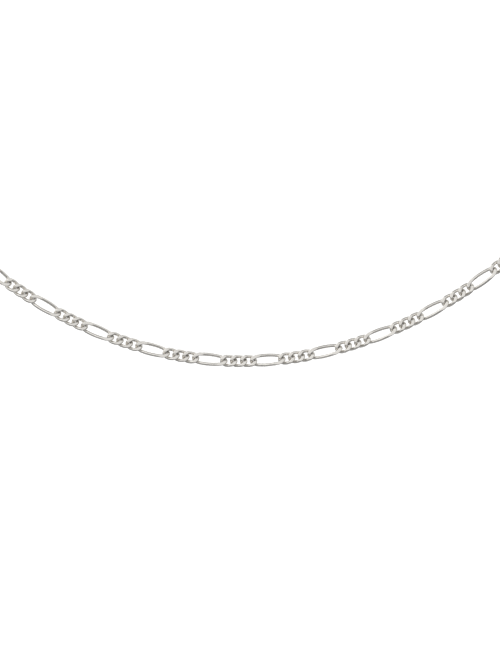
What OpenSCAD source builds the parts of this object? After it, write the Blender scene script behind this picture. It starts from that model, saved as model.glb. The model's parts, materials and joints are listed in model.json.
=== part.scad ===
// Figaro neck chain: small curb links and one long link in turn, round the whole loop,
// closed behind the neck by a plain clasp between two jump rings.
// Millimetres. +Z is up and the front of the chain faces -Y. The origin is the point on
// the inner side of the clasp where the chain lies on the nape.

/* [Necklace] */
// Length of the whole loop, clasp included
necklace_length = 500; // [440:5:600]
// Small links between two long ones
small_count = 3; // [1:1:5]
// Distance by which the pattern is slid round the loop, to the right at the front
pattern_slide = -0.9; // [-4:0.1:4]

/* [Links] */
// Thickness of the wire that the links are bent from
wire = 0.8; // [0.64:0.02:0.84]
// Length of a small link
small_length = 4.18; // [4:0.01:4.8]
// Width of a small link
small_width = 3; // [2.9:0.05:3.6]
// Length of each round end of a small link, up to the middle of its wire
small_end = 1; // [0.9:0.01:1.2]
// Length of a long link
long_length = 8.59; // [6.5:0.01:11]
// Width of a long link
long_width = 3.12; // [3:0.02:3.8]
// Length of each round end of a long link, up to the middle of its wire
long_end = 1.47; // [1.2:0.01:1.8]
// Play between two links where one hooks into the other
play = 0.2; // [0.16:0.01:0.24]
// Thickness of the chain once both faces are ground flat
chain_thickness = 1.6; // [1.2:0.02:1.7]
// Slant of the long links within the face of the chain, in degrees
long_slant = 0.5; // [0:0.5:1]
// Lean of the faces back from upright, in degrees
lean = 10; // [0:1:20]

/* [Clasp] */
// Length of the clasp
clasp_length = 11; // [9:0.5:16]
// Width of the clasp at its round end
clasp_width = 5; // [4.4:0.1:7]
// Width of the clasp's body next to its eye
clasp_neck = 3.4; // [3:0.1:4.4]
// Thickness of the clasp
clasp_thickness = 1.4; // [1:0.1:1.6]
// Metal round the opening of the clasp
clasp_wall = 1.1; // [0.8:0.05:1.3]
// Bore of the clasp's eye
eye_bore = 1.7; // [1.5:0.1:2]
// Metal round the bore of the eye
eye_wall = 0.8; // [0.6:0.05:1]
// Outer diameter of a jump ring
ring_diameter = 4.4; // [4.2:0.1:5]
// Thickness of a jump ring's wire
ring_wire = 0.7; // [0.5:0.05:0.8]

/* [Hidden] */
// The loop before it is stretched to its length. It hangs at the front in a catenary, goes
// back and up in an arc on each side, and closes in a wider arc on each side of the nape.
catenary = 86.6;
front_half = 58;
side_lead = 30;
nape_corner = [62, 97, 106];
nape_radius = 60;

// Facets of the wire, of each round end of a link and of a link's straight sides, and
// roundness of the clasp
wire_facets = 5;
end_facets = 4;
small_side_facets = 1;
long_side_facets = 3;
$fn = 64;

function unit(v) = v / norm(v);

// Pattern: groups of small links with one long link between two groups
hook = wire * 2 + play;
small_pitch = small_length - hook;
mixed_pitch = (small_length + long_length) / 2 - hook;
repeat = (small_count - 1) * small_pitch + 2 * mixed_pitch;
group = (small_count - 1) * small_pitch;

// Clasp set, from the last link's centre on one side to the last link's on the other
// A ring crosses its link at a slope, so it gets a little more play.
ring_inner = ring_diameter / 2 - ring_wire;
ring_play = 1.3 * play;
ring_seat = sqrt(pow(ring_inner, 2) - pow(clasp_thickness / 2, 2)) - play;
link_seat = ring_inner - wire / 2 - ring_play;
link_reach = (small_length - wire) / 2;
ring_offset = link_reach + link_seat;
set_length = 2 * (ring_offset + ring_seat) + clasp_length - clasp_wall - eye_wall;

long_count = 2 * round((necklace_length - set_length - group) / repeat / 2);
link_count = long_count + (long_count + 1) * small_count;
loop = long_count * repeat + group + set_length;

// Route, as lengths and directions of its stretches on the right side
front_arc = catenary * sinh_of(front_half / catenary);
front_end = [front_half, 0, catenary * (cosh_of(front_half / catenary) - 1)];
front_dir = unit([1, 0, sinh_of(front_half / catenary)]);
side_corner = front_end + side_lead * front_dir;
side_dir = unit(nape_corner - side_corner);
side_turn = acos(front_dir * side_dir);
side_radius = side_lead / tan(side_turn / 2);
nape_turn = acos(-side_dir.x);
nape_lead = nape_radius * tan(nape_turn / 2);
side_leg = norm(nape_corner - side_corner) - side_lead - nape_lead;
side_arc = side_radius * side_turn * PI / 180;
nape_arc = nape_radius * nape_turn * PI / 180;
nape_leg = nape_corner.x - nape_lead;
stretch = loop / 2 / (front_arc + side_arc + side_leg + nape_arc + nape_leg);

function sinh_of(u) = (exp(u) - exp(-u)) / 2;
function cosh_of(u) = (exp(u) + exp(-u)) / 2;
function asinh_of(u) = ln(u + sqrt(u * u + 1));

// Point and direction at a distance along an arc that leaves p in direction d and turns to e
function arc_point(p, d, e, radius, angle) =
    p + radius * (sin(angle) * d + (1 - cos(angle)) * unit(e - (e * d) * d));
function arc_dir(d, e, angle) = cos(angle) * d + sin(angle) * unit(e - (e * d) * d);

// Point and direction on the right half of the loop, at distance s from its lowest point
function half_at(s) =
    let (s1 = s - front_arc, s2 = s1 - side_arc, s3 = s2 - side_leg, s4 = s3 - nape_arc)
    s1 < 0 ? front_at(catenary * asinh_of(s / catenary)) :
    s2 < 0 ? let (angle = s1 / side_radius * 180 / PI)
        [arc_point(front_end, front_dir, side_dir, side_radius, angle),
         arc_dir(front_dir, side_dir, angle)] :
    s3 < 0 ? [side_corner + (side_lead + s2) * side_dir, side_dir] :
    s4 < 0 ? let (angle = s3 / nape_radius * 180 / PI)
        [arc_point(nape_corner - nape_lead * side_dir, side_dir, [-1, 0, 0], nape_radius, angle),
         arc_dir(side_dir, [-1, 0, 0], angle)] :
    [nape_corner - [nape_lead + s4, 0, 0], [-1, 0, 0]];
function front_at(x) =
    [[x, 0, catenary * (cosh_of(x / catenary) - 1)], unit([1, 0, sinh_of(x / catenary)])];

// The left half mirrors the right one, and distances past the nape run on from the other side
function wrapped(s) = s > loop / 2 ? s - loop : s < -loop / 2 ? s + loop : s;
function loop_at(s) =
    let (w = wrapped(s), h = half_at(abs(w) / stretch), side = w < 0 ? -1 : 1)
    [[side * h[0].x, h[0].y, h[0].z] * stretch, [h[1].x, side * h[1].y, side * h[1].z]];

// Axes of what lies along a direction: along it, across it, and out of its leaning outer face
function axes_along(along, turn = 0) =
    let (out = unit([along.y, -along.x, 0]),
         up = cross(out, along),
         face = out * cos(lean) + up * sin(lean),
         across = up * cos(lean) - out * sin(lean))
    [along * cos(turn) - across * sin(turn), across * cos(turn) + along * sin(turn), face];

// The nape's point is put in the origin
nape = loop_at(loop / 2)[0] - axes_along(loop_at(loop / 2)[1])[2] * clasp_thickness / 2;
function place(s) = loop_at(s)[0] - nape;

// A link lies about its own centre, x along the chain and z out of its face. Its centre line
// is an oval with straight sides, twisted about x until neighbours lie side by side. Wires
// that cross at a slope take a little more room than their thickness.
slope_room = 1.1;
small_half = [link_reach, (small_width - wire) / 2];
long_half = [(long_length - wire) / 2, (long_width - wire) / 2];
small_straight = 2 * (small_half.x - small_end);
long_straight = 2 * (long_half.x - long_end);
cross_x = (small_pitch - small_straight) / 2;
cross_y = small_half.y * sqrt(1 - pow(cross_x / small_end, 2));
twist = asin(slope_room * (wire + play) / 2 / cross_y) * small_half.x / (small_pitch / 2);

function turned(p, angle) =
    [p.x, p.y * cos(angle) - p.z * sin(angle), p.y * sin(angle) + p.z * cos(angle)];

// Half an oval: its right end from bottom to top, then its upper side towards the left
function half_oval(half, straight, side_facets) = concat(
    [for (i = [0 : end_facets])
        let (t = 180 * i / end_facets - 90)
        [straight / 2 + (half.x - straight / 2) * cos(t), half.y * sin(t), 0]],
    [for (i = [1 : 1 : side_facets - 1])
        [straight / 2 - straight * i / side_facets, half.y, 0]]);
function centre_line(half, straight, side_facets) =
    let (right = half_oval(half, straight, side_facets))
    [for (p = concat(right, -right)) turned(p, -twist * p.x / half.x)];

// The wire round a centre line, with a flat side outwards and both faces of the link ground
function ground(p) = [p.x, p.y, max(-chain_thickness / 2, min(chain_thickness / 2, p.z))];
function link_points(half, straight, side_facets) =
    let (line = centre_line(half, straight, side_facets), n = len(line))
    [for (i = [0 : n - 1])
        let (c = line[i],
             along = unit(line[(i + 1) % n] - line[(i + n - 1) % n]),
             out = unit(cross(along, turned([0, 0, 1], -twist * c.x / half.x))),
             face = cross(out, along))
        for (j = [0 : wire_facets - 1])
            let (angle = (j + 0.5) * 360 / wire_facets)
            ground(c + wire / 2 * (cos(angle) * out + sin(angle) * face))];
function link_faces(rings, first) =
    [for (i = [0 : rings - 1], j = [0 : wire_facets - 1])
        let (next_i = (i + 1) % rings, next_j = (j + 1) % wire_facets,
             a = first + i * wire_facets + j,
             b = first + i * wire_facets + next_j,
             c = first + next_i * wire_facets + next_j,
             d = first + next_i * wire_facets + j)
        each [[a, b, c], [a, c, d]]];

small_points = link_points(small_half, small_straight, small_side_facets);
long_points = link_points(long_half, long_straight, long_side_facets);

// Links by number, counted round the loop from the left end of the chain to its right end
function is_long(i) = i % (small_count + 1) == small_count;
function points_of(i) = is_long(i) ? long_points : small_points;
function link_s(i) =
    let (full = floor(i / (small_count + 1)), rest = i % (small_count + 1))
    full * repeat + min(rest, small_count - 1) * small_pitch
        + (rest == small_count ? mixed_pitch : 0) - (long_count * repeat + group) / 2
        + pattern_slide;

// A link hangs between the two points of the loop where it hooks into its neighbours
function placed(i) =
    let (hook_reach = (is_long(i) ? long_length : small_length) / 2 - wire - play / 2,
         from = place(link_s(i) - hook_reach),
         to = place(link_s(i) + hook_reach),
         axes = axes_along(unit(to - from), is_long(i) ? long_slant : 0))
    [for (p = points_of(i)) (from + to) / 2 + p.x * axes[0] + p.y * axes[1] + p.z * axes[2]];

function sums(values, i = 0, total = 0) =
    i == len(values) ? [] : concat([total], sums(values, i + 1, total + values[i]));

// Links from number first to number last, as one body of loose closed rings
module links(first, last) {
    firsts = sums([for (i = [first : last]) len(points_of(i))]);
    polyhedron(
        points = [for (i = [first : last]) each placed(i)],
        faces = [for (i = [first : last])
            each link_faces(len(points_of(i)) / wire_facets, firsts[i - first])]);
}

// Puts what is drawn about the origin at distance s round the loop
module seat_at(s) {
    p = place(s);
    a = axes_along(loop_at(s)[1]);
    multmatrix([[a[0].x, a[1].x, a[2].x, p.x],
                [a[0].y, a[1].y, a[2].y, p.y],
                [a[0].z, a[1].z, a[2].z, p.z]]) children();
}

middle_link = floor(link_count / 2);
right_ring_s = link_s(link_count - 1) + ring_offset;
left_ring_s = link_s(0) - ring_offset;
clasp_s = right_ring_s + ring_seat - clasp_wall + clasp_length / 2;

module chain_left() {
    color("silver") links(0, middle_link - 1);
}

module chain_right() {
    color("silver") links(middle_link, link_count - 1);
}

// A jump ring stands across the faces of the links that it joins
module jump_ring(s) {
    color("gainsboro") seat_at(s) rotate([90, 0, 0])
        rotate_extrude() translate([ring_diameter / 2 - ring_wire / 2, 0]) circle(d = ring_wire);
}

module jump_ring_left() {
    jump_ring(left_ring_s);
}

module jump_ring_right() {
    jump_ring(right_ring_s);
}

// The clasp is a closed pear-shaped loop, round towards the right side, with an eye
module clasp() {
    round_r = clasp_width / 2;
    neck_r = clasp_neck / 2;
    eye_r = eye_bore / 2 + eye_wall;
    round_x = -clasp_length / 2 + round_r;
    eye_x = clasp_length / 2 - eye_r;
    neck_x = eye_x - eye_bore / 2 - neck_r;
    color("lightgray") seat_at(clasp_s) translate([0, 0, -clasp_thickness / 2])
        linear_extrude(clasp_thickness) difference() {
            union() {
                hull() {
                    translate([round_x, 0]) circle(round_r);
                    translate([neck_x, 0]) circle(neck_r);
                }
                translate([eye_x, 0]) circle(eye_r);
            }
            hull() {
                translate([round_x, 0]) circle(round_r - clasp_wall);
                translate([neck_x, 0]) circle(neck_r - clasp_wall);
            }
            translate([eye_x, 0]) circle(d = eye_bore);
        }
}

chain_left();
chain_right();
jump_ring_left();
jump_ring_right();
clasp();
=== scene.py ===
"""Figaro chain necklace: ground silver curb links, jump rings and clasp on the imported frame.

Every length is in metres in the frame of the part: +Z is up, the front of the chain faces
-Y, and the origin is the point where the clasp lies on the nape.
"""

import json
import logging
import math
import random
from collections.abc import Callable, Iterator
from contextlib import contextmanager
from dataclasses import dataclass
from enum import Enum

import bpy
import numpy as np
from mathutils import Matrix, Vector

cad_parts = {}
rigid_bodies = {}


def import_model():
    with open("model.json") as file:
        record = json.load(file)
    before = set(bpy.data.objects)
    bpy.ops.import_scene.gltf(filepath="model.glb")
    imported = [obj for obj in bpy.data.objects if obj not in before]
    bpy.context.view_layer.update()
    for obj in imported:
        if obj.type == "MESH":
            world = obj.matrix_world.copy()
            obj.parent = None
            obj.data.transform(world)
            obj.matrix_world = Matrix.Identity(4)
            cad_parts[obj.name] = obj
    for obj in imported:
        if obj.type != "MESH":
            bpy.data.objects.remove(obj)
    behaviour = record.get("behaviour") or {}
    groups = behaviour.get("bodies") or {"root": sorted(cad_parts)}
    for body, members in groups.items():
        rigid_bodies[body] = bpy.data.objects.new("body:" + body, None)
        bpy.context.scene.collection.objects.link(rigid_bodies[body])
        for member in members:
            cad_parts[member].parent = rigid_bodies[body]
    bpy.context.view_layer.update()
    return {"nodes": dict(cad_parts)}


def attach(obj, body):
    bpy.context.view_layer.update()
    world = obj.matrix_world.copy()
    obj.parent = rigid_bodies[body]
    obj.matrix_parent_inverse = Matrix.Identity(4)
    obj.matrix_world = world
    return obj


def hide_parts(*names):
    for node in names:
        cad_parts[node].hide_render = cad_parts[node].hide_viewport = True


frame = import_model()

MM = 0.001
BODY = "root"
SEED = 7

log = logging.getLogger("figaro")


class Bench:
    """What every piece needs while it is modelled: selection, edit mode and modifiers."""

    CUT_ACCURACY = 0.0001 * MM

    @staticmethod
    def clear() -> None:
        """Deselects every object."""
        bpy.ops.object.select_all(action="DESELECT")

    @staticmethod
    def activate(piece: bpy.types.Object) -> None:
        """Makes one object the only selected one and the active one.

        Args:
            piece: The object to work on.
        """
        Bench.clear()
        piece.select_set(True)
        bpy.context.view_layer.objects.active = piece

    @staticmethod
    @contextmanager
    def editing(piece: bpy.types.Object) -> Iterator[None]:
        """Opens an object in edit mode with all of it selected, and leaves edit mode after.

        Args:
            piece: The object to edit.
        """
        Bench.activate(piece)
        bpy.ops.object.mode_set(mode="EDIT")
        bpy.ops.mesh.select_mode(type="VERT")
        bpy.ops.mesh.select_all(action="SELECT")
        yield
        bpy.ops.object.mode_set(mode="OBJECT")

    @staticmethod
    def pick(piece: bpy.types.Object, test: Callable[[Vector], bool]) -> None:
        """Selects, in edit mode, the vertices that lie where a test says.

        Args:
            piece: The object that is open in edit mode.
            test: Says for a vertex's place whether it is picked.
        """
        bpy.ops.mesh.select_all(action="DESELECT")
        bpy.ops.object.mode_set(mode="OBJECT")
        for vertex in piece.data.vertices:
            vertex.select = test(vertex.co)
        bpy.ops.object.mode_set(mode="EDIT")

    @staticmethod
    def pick_faces(piece: bpy.types.Object, test: Callable[[bpy.types.MeshPolygon], bool]) -> None:
        """Selects, in edit mode, the faces that a test says.

        Args:
            piece: The object that is open in edit mode.
            test: Says for a face whether it is picked.
        """
        bpy.ops.mesh.select_all(action="DESELECT")
        bpy.ops.mesh.select_mode(type="FACE")
        bpy.ops.object.mode_set(mode="OBJECT")
        for face in piece.data.polygons:
            face.select = test(face)
        bpy.ops.object.mode_set(mode="EDIT")

    @staticmethod
    def finish_with(piece: bpy.types.Object, kind: str, **settings: object) -> None:
        """Adds a modifier with its settings and applies it.

        Args:
            piece: The object to modify.
            kind: The modifier's type.
            **settings: The modifier's own values.
        """
        Bench.activate(piece)
        modifier = piece.modifiers.new(kind.lower(), kind)
        for name, value in settings.items():
            setattr(modifier, name, value)
        bpy.ops.object.modifier_apply(modifier=modifier.name)

    @staticmethod
    def copy_of_node(node: str) -> bpy.types.Object:
        """Copies a node of the frame and merges its loose triangles.

        Args:
            node: The node's name.

        Returns:
            The copy, which rides on nothing yet.
        """
        Bench.activate(frame["nodes"][node])
        bpy.ops.object.duplicate()
        copy = bpy.context.active_object
        bpy.ops.object.parent_clear(type="CLEAR_KEEP_TRANSFORM")
        for key in list(copy.keys()):
            del copy[key]
        with Bench.editing(copy):
            bpy.ops.mesh.remove_doubles(threshold=Bench.CUT_ACCURACY)
        return copy

    @staticmethod
    def place_of(points: np.ndarray) -> Matrix:
        """Finds where a body with three axes of symmetry lies.

        Args:
            points: The body's vertices, one a row.

        Returns:
            A placing matrix: x along the longest axis of the body, z along its shortest,
            and y upwards.
        """
        centre = points.mean(0)
        _, axes = np.linalg.eigh(np.cov((points - centre).T))
        length, width = Vector(axes[:, 2]), Vector(axes[:, 1])
        if width.z < 0:
            width.negate()
        turned = Matrix((length, width, length.cross(width))).transposed().to_4x4()
        return Matrix.Translation(centre) @ turned

    @staticmethod
    def vertices(piece: bpy.types.Object) -> np.ndarray:
        """Reads the vertices of a mesh object, one a row."""
        flat = np.zeros(len(piece.data.vertices) * 3)
        piece.data.vertices.foreach_get("co", flat)
        return flat.reshape(-1, 3)

    @staticmethod
    def note(piece: bpy.types.Object, name: str, values: np.ndarray) -> None:
        """Writes an attribute that a finish reads at each vertex.

        Args:
            piece: The modelled mesh object.
            name: The attribute's name.
            values: A number or a vector for each vertex, one a row.
        """
        kind, field = ("FLOAT", "value") if values.ndim == 1 else ("FLOAT_VECTOR", "vector")
        attribute = piece.data.attributes.new(name, kind, "POINT")
        attribute.data.foreach_set(field, values.ravel())


class Finish(Enum):
    """The finishes of the necklace, by the record's material slot."""

    CHAIN = "chain_silver"
    RING = "ring_silver"
    CLASP = "clasp_silver"


@dataclass(frozen=True)
class Silver:
    """Polished silver with dents, scratches, grinding lines, haze, and painted shade in the hooks.

    The pattern reads the piece's own attribute, in which x runs along the link and z out of
    its face, so the grinding lines of each link follow that link. A grain says how often a
    pattern repeats in a millimetre along x, y and z.
    """

    finish: Finish
    colour: tuple[float, float, float] = (0.94, 0.912, 0.865)
    # Painted shade: the dark grey that the upper side of each hook is darkened to.
    painted_shade: tuple[float, float, float] = (0.07, 0.065, 0.06)
    smooth: float = 0.1
    hazy: float = 0.2
    haze_from: float = 0.15
    haze_to: float = 0.4
    haze_grain: tuple[float, float, float] = (0.9, 0.9, 0.9)
    wear_grain: tuple[float, float, float] = (7, 7, 7)
    line_grain: tuple[float, float, float] = (1.2, 55, 55)
    line_height: float = 0.003 * MM
    line_depth: float = 0.10
    scratch_grain: tuple[float, float, float] = (16, 3, 22)
    scratch_height: float = 0.004 * MM
    scratch_depth: float = 0.05
    dent_grain: tuple[float, float, float] = (0.45, 0.6, 0.6)
    dent_height: float = 0.2 * MM
    dent_depth: float = 0.8

    def material(self) -> bpy.types.Material:
        """Builds the material's nodes.

        Returns:
            The material.
        """
        material = bpy.data.materials.new(self.finish.value)
        material.use_nodes = True
        tree = material.node_tree
        shader = tree.nodes["Principled BSDF"]
        shader.inputs["Metallic"].default_value = 1.0
        # Painted shade: the base colour is mixed towards dark grey in the upper side of each hook.
        painted_shade_mask = tree.nodes.new("ShaderNodeAttribute")
        painted_shade_mask.attribute_name = Link.HOOK_SHADE
        silver = tree.nodes.new("ShaderNodeMix")
        silver.data_type = "RGBA"
        silver.inputs["A"].default_value = (*self.colour, 1)
        silver.inputs["B"].default_value = (*self.painted_shade, 1)
        tree.links.new(painted_shade_mask.outputs["Fac"], silver.inputs["Factor"])
        tree.links.new(silver.outputs["Result"], shader.inputs["Base Color"])
        space = tree.nodes.new("ShaderNodeAttribute")
        space.attribute_name = Link.SPACE
        place = space.outputs["Vector"]

        haze = self._noise(tree, place, self.haze_grain, detail=3)
        wear = self._noise(tree, place, self.wear_grain, detail=4)
        spread = tree.nodes.new("ShaderNodeMath")
        spread.operation = "MULTIPLY"
        tree.links.new(haze, spread.inputs[0])
        tree.links.new(wear, spread.inputs[1])
        rough = tree.nodes.new("ShaderNodeMapRange")
        rough.inputs["From Min"].default_value = self.haze_from
        rough.inputs["From Max"].default_value = self.haze_to
        rough.inputs["To Min"].default_value = self.smooth
        rough.inputs["To Max"].default_value = self.hazy
        tree.links.new(spread.outputs[0], rough.inputs["Value"])
        tree.links.new(rough.outputs["Result"], shader.inputs["Roughness"])

        lines = self._noise(tree, place, self.line_grain, detail=2)
        scratches = self._noise(tree, place, self.scratch_grain, detail=5)
        dents = self._noise(tree, place, self.dent_grain, detail=2)
        surface = None
        for relief, strength, height in (
            (dents, self.dent_depth, self.dent_height),
            (scratches, self.scratch_depth, self.scratch_height),
            (lines, self.line_depth, self.line_height),
        ):
            bump = tree.nodes.new("ShaderNodeBump")
            bump.inputs["Strength"].default_value = strength
            bump.inputs["Distance"].default_value = height
            tree.links.new(relief, bump.inputs["Height"])
            if surface is not None:
                tree.links.new(surface, bump.inputs["Normal"])
            surface = bump.outputs["Normal"]
        tree.links.new(surface, shader.inputs["Normal"])
        return material

    @staticmethod
    def _noise(
        tree: bpy.types.NodeTree,
        place: bpy.types.NodeSocket,
        grain: tuple[float, float, float],
        detail: float,
    ) -> bpy.types.NodeSocket:
        """Adds a noise pattern stretched along the link.

        Args:
            tree: The material's nodes.
            place: The place on the link, in millimetres.
            grain: How often the pattern repeats in a millimetre along x, y and z.
            detail: How many finer layers it holds.

        Returns:
            The noise, from 0 to 1.
        """
        mapping = tree.nodes.new("ShaderNodeMapping")
        mapping.inputs["Scale"].default_value = grain
        noise = tree.nodes.new("ShaderNodeTexNoise")
        noise.inputs["Scale"].default_value = 1.0
        noise.inputs["Detail"].default_value = detail
        tree.links.new(place, mapping.inputs["Vector"])
        tree.links.new(mapping.outputs["Vector"], noise.inputs["Vector"])
        return noise.outputs["Fac"]


@dataclass(frozen=True)
class Link:
    """One kind of link: round wire bent to an oval, twisted flat and ground on both faces."""

    length: float
    width: float
    end: float
    side_cuts: int
    twist: float
    wire: float
    thickness: float
    hollow: float = math.radians(4)
    rim_width: float = 0.1 * MM
    rim_drop: float = 0.03 * MM
    rim_thinning: float = 0.6
    end_swelling: float = 0.12
    end_points: int = 20
    wire_rounding: int = 6

    SPACE = "link_space"
    # The attribute that holds the painted shade of the hooks.
    HOOK_SHADE = "link_painted_shade"
    SHIFT = 90

    @property
    def half_length(self) -> float:
        """From the link's middle to the middle of the wire at its end."""
        return (self.length - self.wire) / 2

    @property
    def half_width(self) -> float:
        """From the link's middle to the middle of the wire at its side."""
        return (self.width - self.wire) / 2

    @property
    def wire_sides(self) -> int:
        """How many sides the round wire has."""
        return 4 + 2 * self.wire_rounding

    def model(self, name: str) -> bpy.types.Object:
        """Models the link about its own centre.

        Args:
            name: The object's name.

        Returns:
            The link, x along its length and z out of its face.
        """
        Bench.clear()
        bpy.ops.mesh.primitive_circle_add(vertices=2 * self.end_points, radius=1)
        link = bpy.context.active_object
        link.name = name
        self._bend(link)
        self._draw_wire(link)
        self._grind(link)
        self._note_space(link)
        return link

    def _bend(self, link: bpy.types.Object) -> None:
        """Bends the circle to the twisted centre line of the wire.

        Args:
            link: The circle of unit radius.
        """
        half_straight = self.half_length - self.end
        with Bench.editing(link):
            half_step = math.pi / (2 * self.end_points)
            bpy.ops.transform.rotate(value=half_step, orient_axis="Z", center_override=(0, 0, 0))
            bpy.ops.transform.resize(
                value=(self.end, self.half_width, 1), center_override=(0, 0, 0)
            )
            for side in (-1, 1):
                Bench.pick(link, lambda place: place.x * side > 0)
                bpy.ops.transform.translate(value=(side * half_straight, 0, 0))
            reach = half_straight + self.end * math.sin(1.5 * half_step)
            Bench.pick(link, lambda place: abs(place.x) < reach)
            bpy.ops.mesh.subdivide(number_cuts=self.side_cuts)
        Bench.finish_with(
            link,
            "SIMPLE_DEFORM",
            deform_method="TWIST",
            deform_axis="X",
            angle=-2 * self.twist,
        )

    def _draw_wire(self, link: bpy.types.Object) -> None:
        """Gives the centre line its round wire, a little thicker where its ends are bent.

        Args:
            link: The centre line.
        """
        Bench.activate(link)
        bpy.ops.object.convert(target="CURVE")
        link.data.bevel_depth = self.wire / 2
        link.data.bevel_resolution = self.wire_rounding
        for point in link.data.splines[0].points:
            past = abs(point.co.x) - (self.half_length - self.wire)
            point.radius = 1 + self.end_swelling * max(past, 0) / self.wire
        bpy.ops.object.convert(target="MESH")

    def _grind(self, link: bpy.types.Object) -> None:
        """Grinds a flat on each end of both faces and rounds its rim, as tumbling does.

        Each flat slopes in towards the middle of the link, as the wheel leaves it.

        Args:
            link: The link of round wire.
        """
        with Bench.editing(link):
            for face, side in ((1, -1), (1, 1), (-1, -1), (-1, 1)):
                outwards = -face * side
                Bench.pick(
                    link,
                    lambda place: place.x * side > 0 and place.y * outwards > -self.wire / 2,
                )
                height = self.thickness / 2 - self.rim_drop
                bpy.ops.mesh.bisect(
                    plane_co=(0, outwards * self.half_width, face * height),
                    plane_no=(0, -outwards * math.sin(self.hollow), face * math.cos(self.hollow)),
                    use_fill=True,
                    clear_outer=True,
                    threshold=Bench.CUT_ACCURACY,
                )
                bpy.ops.mesh.remove_doubles(threshold=self.rim_width * self.rim_thinning)
            bpy.ops.mesh.select_all(action="SELECT")
            bpy.ops.mesh.normals_make_consistent(inside=False)
            Bench.pick_faces(link, lambda part: len(part.vertices) > self.wire_sides)
            for width, rise in ((self.rim_width, self.rim_drop), (self.rim_width / 4, 0)):
                bpy.ops.mesh.inset(thickness=width, depth=rise, use_even_offset=False)
        Bench.activate(link)
        bpy.ops.object.shade_smooth()

    def _note_space(self, link: bpy.types.Object) -> None:
        """Writes what the finish reads: places on the link in millimetres, and its painted shade.

        Painted shade darkens the upper side of each hook, under the next link, where the crevice
        falls into shade.

        Args:
            link: The finished link.
        """
        points = Bench.vertices(link)
        Bench.note(link, self.SPACE, points / MM)
        # Painted shade: full within one reach of the upper side of each hook, fading to none at
        # two reaches.
        reach = self.wire / 3
        hook = np.array((self.half_length - reach, reach, 0))
        folded = np.column_stack((np.abs(points[:, 0]), points[:, 1:]))
        distance = np.linalg.norm(folded - hook, axis=1)
        Bench.note(link, self.HOOK_SHADE, np.clip(2 - distance / reach, 0, 1))


@dataclass(frozen=True)
class Chain:
    """The chain's sizes, which are those of the solids, and the two kinds of link."""

    wire: float = 0.8 * MM
    play: float = 0.2 * MM
    thickness: float = 1.6 * MM
    small_length: float = 4.18 * MM
    small_width: float = 3.0 * MM
    small_end: float = 1.0 * MM
    long_length: float = 8.59 * MM
    long_width: float = 3.12 * MM
    long_end: float = 1.47 * MM
    slope_room: float = 1.1

    def twist(self) -> float:
        """Works out how far an end is twisted from the middle, so that neighbours lie flat.

        Returns:
            The angle, in radians.
        """
        half_pitch = (self.small_length - self.play) / 2 - self.wire
        half_length = (self.small_length - self.wire) / 2
        half_width = (self.small_width - self.wire) / 2
        share = 1 - (half_length - half_pitch) / self.small_end
        crossing = half_width * math.sqrt(1 - share**2)
        side_by_side = self.slope_room * (self.wire + self.play) / 2
        return math.asin(side_by_side / crossing) * half_length / half_pitch

    def small_link(self) -> Link:
        """Gives the small round-oval link."""
        return Link(
            length=self.small_length,
            width=self.small_width,
            end=self.small_end,
            side_cuts=4,
            twist=self.twist(),
            wire=self.wire,
            thickness=self.thickness,
        )

    def long_link(self) -> Link:
        """Gives the long oval link."""
        return Link(
            length=self.long_length,
            width=self.long_width,
            end=self.long_end,
            side_cuts=16,
            twist=self.twist(),
            wire=self.wire,
            thickness=self.thickness,
        )

    def build(self, sides: dict[str, str], material: bpy.types.Material) -> None:
        """Models both links once and hangs a copy at each link's place in the frame.

        Args:
            sides: The new piece's name for each node of the chain.
            material: The chain's finish.
        """
        small = self.small_link().model("small_link")
        long = self.long_link().model("long_link")
        long_from = (self.small_length + self.long_length) / 2
        for node, name in sides.items():
            piece = self._hang(node, name, small, long, long_from)
            piece.data.materials.append(material)
            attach(piece, BODY)
            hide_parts(node)
            log.info("%s: %d faces", piece.name, len(piece.data.polygons))
        for master in (small, long):
            bpy.data.objects.remove(master)

    @staticmethod
    def _hang(
        node: str,
        name: str,
        small: bpy.types.Object,
        long: bpy.types.Object,
        long_from: float,
    ) -> bpy.types.Object:
        """Puts a copy of a modelled link at the place of each loose solid of a node.

        Args:
            node: The node that holds the solids.
            name: The joined piece's name.
            small: The modelled small link.
            long: The modelled long link.
            long_from: The length from which a solid is a long link.

        Returns:
            The copies as one piece.
        """
        solids = Bench.copy_of_node(node)
        Bench.activate(solids)
        bpy.ops.mesh.separate(type="LOOSE")
        links = []
        for solid in list(bpy.context.selected_objects):
            points = Bench.vertices(solid)
            place = Bench.place_of(points)
            along = (points - np.array(place.translation)) @ np.array(place.col[0][:3])
            master = long if np.ptp(along) > long_from else small
            link = bpy.data.objects.new(name, master.data.copy())
            Chain._shift_space(link)
            link.data.transform(place)
            bpy.context.scene.collection.objects.link(link)
            links.append(link)
            bpy.data.objects.remove(solid)
        Bench.clear()
        for link in links:
            link.select_set(True)
        bpy.context.view_layer.objects.active = links[0]
        bpy.ops.object.join()
        piece = bpy.context.active_object
        piece.name = name
        return piece

    @staticmethod
    def _shift_space(link: bpy.types.Object) -> None:
        """Shifts the space that the finish reads, so that no two links are worn alike.

        Args:
            link: A link's own copy.
        """
        shift = np.array([random.uniform(-Link.SHIFT, Link.SHIFT) for _ in range(3)])
        space = np.zeros(len(link.data.vertices) * 3)
        link.data.attributes[Link.SPACE].data.foreach_get("vector", space)
        space = space.reshape(-1, 3) + shift
        link.data.attributes[Link.SPACE].data.foreach_set("vector", space.ravel())


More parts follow.
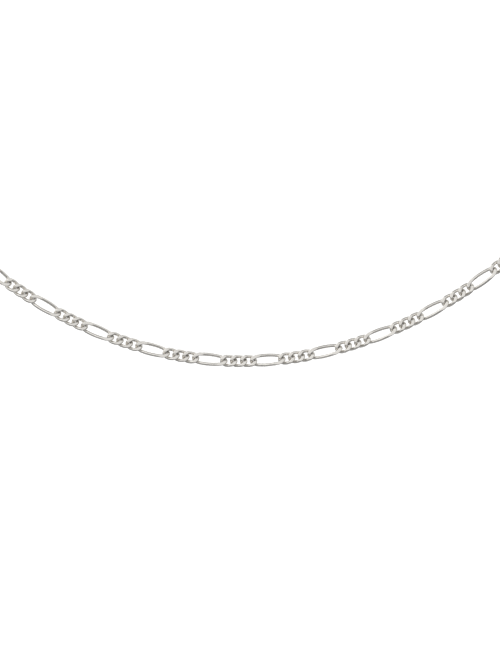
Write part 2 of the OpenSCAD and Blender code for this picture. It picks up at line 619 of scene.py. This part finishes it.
@dataclass(frozen=True)
class JumpRing:
    """A ring of round wire whose soldered joint still shows as a fine line."""

    node: str
    name: str
    diameter: float = 4.4 * MM
    wire: float = 0.7 * MM
    joint: float = 0.05 * MM
    joint_size: float = 0.93
    crease: float = math.radians(60)
    round_points: int = 72
    wire_points: int = 18

    def build(self, material: bpy.types.Material) -> None:
        """Models the ring where its node lies.

        Args:
            material: The ring's finish.
        """
        Bench.clear()
        bpy.ops.mesh.primitive_torus_add(
            major_segments=self.round_points,
            minor_segments=self.wire_points,
            major_radius=(self.diameter - self.wire) / 2,
            minor_radius=self.wire / 2,
        )
        ring = bpy.context.active_object
        ring.name = self.name
        self._cut_joint(ring)
        Bench.activate(ring)
        bpy.ops.object.shade_smooth_by_angle(angle=self.crease)
        Bench.note(ring, Link.SPACE, Bench.vertices(ring) / MM)
        ring.data.transform(Bench.place_of(Bench.vertices(Bench.copy_of_node(self.node))))
        bpy.data.objects.remove(bpy.context.active_object)
        ring.data.materials.append(material)
        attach(ring, BODY)
        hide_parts(self.node)
        log.info("%s: %d faces", ring.name, len(ring.data.polygons))

    def _cut_joint(self, ring: bpy.types.Object) -> None:
        """Sinks a fine groove where the ring's ends meet.

        Args:
            ring: The plain ring.
        """
        middle = Vector(((self.diameter - self.wire) / 2, 0, 0))
        with Bench.editing(ring):
            for side in (-1, 0, 1):
                bpy.ops.mesh.select_all(action="SELECT")
                bpy.ops.mesh.bisect(
                    plane_co=(0, side * self.joint, 0),
                    plane_no=(0, 1, 0),
                    threshold=Bench.CUT_ACCURACY,
                )
            Bench.pick(ring, lambda place: place.x > 0 and abs(place.y) < self.joint / 2)
            bpy.ops.transform.resize(
                value=(self.joint_size, 1, self.joint_size), center_override=middle
            )


@dataclass(frozen=True)
class Clasp:
    """The plain closed clasp, cast with rounded edges."""

    node: str
    name: str
    edge: float = 0.28 * MM
    edge_segments: int = 4
    crease: float = math.radians(40)
    flatness: float = math.radians(1)

    def build(self, material: bpy.types.Material) -> None:
        """Rounds a copy of the clasp's solid.

        Args:
            material: The clasp's finish.
        """
        clasp = Bench.copy_of_node(self.node)
        clasp.name = self.name
        with Bench.editing(clasp):
            bpy.ops.mesh.dissolve_limited(angle_limit=self.flatness)
        Bench.finish_with(
            clasp,
            "BEVEL",
            width=self.edge,
            segments=self.edge_segments,
            limit_method="ANGLE",
            angle_limit=self.crease,
        )
        Bench.activate(clasp)
        bpy.ops.object.shade_smooth_by_angle(angle=self.crease)
        Bench.finish_with(clasp, "WEIGHTED_NORMAL", keep_sharp=True)
        Bench.note(clasp, Link.SPACE, Bench.vertices(clasp) / MM)
        clasp.data.materials.clear()
        clasp.data.materials.append(material)
        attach(clasp, BODY)
        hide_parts(self.node)
        log.info("%s: %d faces", clasp.name, len(clasp.data.polygons))


@dataclass(frozen=True)
class Studio:
    """A white light tent with a dark band low in front, a pale floor and a long lens.

    The tones give the tent's brightness by height, from -1 straight down to 1 straight up,
    in front of the chain and behind it. The gains brighten it towards the left.
    """

    lowest_point: tuple[float, float, float] = (0, -96.15 * MM, -105.7 * MM)
    pixel: float = 0.24 * MM
    frame_pixels: tuple[int, int] = (500, 670)
    lowest_pixel: tuple[float, float] = (242.4, 361.3)
    distance: float = 1.3
    elevation: float = math.radians(5)
    floor_drop: float = 17 * MM
    sensor: float = 36.0
    clip_start: float = 0.01
    floor_size: float = 12.0
    floor_white: float = 0.8
    floor_glow: float = 0.63
    backdrop: float = 1.05
    front_until: float = -0.15
    back_from: float = 0.25
    left_gain: float = 1.75
    right_gain: float = 1.02

    FRONT_TONES = (
        (-1.0, 0.3),
        (-0.94, 0.15),
        (-0.82, 0.25),
        (-0.3, 0.06),
        (-0.05, 0.5),
        (0.12, 0.55),
        (0.5, 0.56),
        (0.75, 0.8),
        (0.9, 0.2),
        (1.0, 0.15),
    )
    BACK_TONES = (
        (-1.0, 0.55),
        (-0.85, 0.15),
        (-0.2, 0.3),
        (0.2, 0.6),
        (0.8, 0.6),
        (1.0, 0.25),
    )

    def build(self) -> None:
        """Sets up the camera, the floor and the light."""
        self._camera()
        self._floor()
        self._world()
        bpy.context.scene.view_settings.view_transform = "Standard"

    def _camera(self) -> None:
        """Aims a long lens so that the lowest link falls where the picture shows it."""
        back = Vector((0, -math.cos(self.elevation), math.sin(self.elevation)))
        up = Vector((0, math.sin(self.elevation), math.cos(self.elevation)))
        right_by = (self.frame_pixels[0] / 2 - self.lowest_pixel[0]) * self.pixel
        up_by = (self.lowest_pixel[1] - self.frame_pixels[1] / 2) * self.pixel
        aim = Vector(self.lowest_point) + right_by * Vector((1, 0, 0)) + up_by * up
        data = bpy.data.cameras.new("camera")
        data.sensor_width = self.sensor
        data.lens = self.sensor * self.distance / (self.frame_pixels[1] * self.pixel)
        data.clip_start = self.clip_start
        camera = bpy.data.objects.new("camera", data)
        camera.location = aim + self.distance * back
        camera.rotation_euler = back.to_track_quat("Z", "Y").to_euler()
        bpy.context.scene.collection.objects.link(camera)
        bpy.context.scene.camera = camera

    def _floor(self) -> None:
        """Lays the pale floor below the chain."""
        Bench.clear()
        bpy.ops.mesh.primitive_plane_add(
            size=self.floor_size, location=(0, 0, self.lowest_point[2] - self.floor_drop)
        )
        floor = bpy.context.active_object
        floor.name = "floor"
        material = bpy.data.materials.new("floor")
        material.use_nodes = True
        shader = material.node_tree.nodes["Principled BSDF"]
        shader.inputs["Base Color"].default_value = (*[self.floor_white] * 3, 1)
        shader.inputs["Roughness"].default_value = 1.0
        shader.inputs["Specular IOR Level"].default_value = 0.0
        shader.inputs["Emission Color"].default_value = (1, 1, 1, 1)
        shader.inputs["Emission Strength"].default_value = self.floor_glow
        floor.data.materials.append(material)
        floor.visible_glossy = False

    def _world(self) -> None:
        """Lights the chain by the tent, and shows the camera a plain white background."""
        world = bpy.data.worlds.new("studio")
        bpy.context.scene.world = world
        world.use_nodes = True
        tree = world.node_tree
        tree.nodes.clear()
        place = tree.nodes.new("ShaderNodeTexCoord")
        split = tree.nodes.new("ShaderNodeSeparateXYZ")
        tree.links.new(place.outputs["Generated"], split.inputs["Vector"])
        height = tree.nodes.new("ShaderNodeMapRange")
        height.inputs["From Min"].default_value = -1
        tree.links.new(split.outputs["Z"], height.inputs["Value"])
        front = self._tones(tree, height.outputs["Result"], self.FRONT_TONES)
        back = self._tones(tree, height.outputs["Result"], self.BACK_TONES)
        behind = tree.nodes.new("ShaderNodeMapRange")
        behind.interpolation_type = "SMOOTHSTEP"
        behind.inputs["From Min"].default_value = self.front_until
        behind.inputs["From Max"].default_value = self.back_from
        tree.links.new(split.outputs["Y"], behind.inputs["Value"])
        tent = tree.nodes.new("ShaderNodeMix")
        tent.data_type = "RGBA"
        tree.links.new(behind.outputs["Result"], tent.inputs["Factor"])
        tree.links.new(front, tent.inputs["A"])
        tree.links.new(back, tent.inputs["B"])
        side = tree.nodes.new("ShaderNodeMapRange")
        side.inputs["From Min"].default_value = -1
        side.inputs["To Min"].default_value = self.left_gain
        side.inputs["To Max"].default_value = self.right_gain
        tree.links.new(split.outputs["X"], side.inputs["Value"])
        light = tree.nodes.new("ShaderNodeBackground")
        tree.links.new(tent.outputs["Result"], light.inputs["Color"])
        tree.links.new(side.outputs["Result"], light.inputs["Strength"])
        backdrop = tree.nodes.new("ShaderNodeBackground")
        backdrop.inputs["Color"].default_value = (1, 1, 1, 1)
        backdrop.inputs["Strength"].default_value = self.backdrop
        path = tree.nodes.new("ShaderNodeLightPath")
        seen = tree.nodes.new("ShaderNodeMixShader")
        tree.links.new(path.outputs["Is Camera Ray"], seen.inputs["Fac"])
        tree.links.new(light.outputs["Background"], seen.inputs[1])
        tree.links.new(backdrop.outputs["Background"], seen.inputs[2])
        output = tree.nodes.new("ShaderNodeOutputWorld")
        tree.links.new(seen.outputs["Shader"], output.inputs["Surface"])

    @staticmethod
    def _tones(
        tree: bpy.types.NodeTree,
        height: bpy.types.NodeSocket,
        tones: tuple[tuple[float, float], ...],
    ) -> bpy.types.NodeSocket:
        """Adds the brightness of the tent by height.

        Args:
            tree: The world's nodes.
            height: The height of a direction, from 0 straight down to 1 straight up.
            tones: Heights from -1 to 1, and the brightness at each.

        Returns:
            The brightness, as a grey.
        """
        ramp = tree.nodes.new("ShaderNodeValToRGB")
        while len(ramp.color_ramp.elements) < len(tones):
            ramp.color_ramp.elements.new(0.5)
        for element, (level, tone) in zip(ramp.color_ramp.elements, tones):
            element.position = (level + 1) / 2
            element.color = (tone, tone, tone, 1)
        tree.links.new(height, ramp.inputs["Fac"])
        return ramp.outputs["Color"]


def main() -> None:
    """Builds the studio and every piece."""
    logging.basicConfig(level=logging.INFO, format="%(name)s: %(message)s")
    random.seed(SEED)
    Studio().build()
    Chain().build(
        {"chain_left": "links_left", "chain_right": "links_right"},
        Silver(Finish.CHAIN).material(),
    )
    ring_finish = Silver(Finish.RING).material()
    for side in ("left", "right"):
        JumpRing(f"jump_ring_{side}", f"ring_{side}").build(ring_finish)
    Clasp("clasp", "clasp_body").build(Silver(Finish.CLASP, dent_depth=0.3).material())


if __name__ == "__main__":
    main()
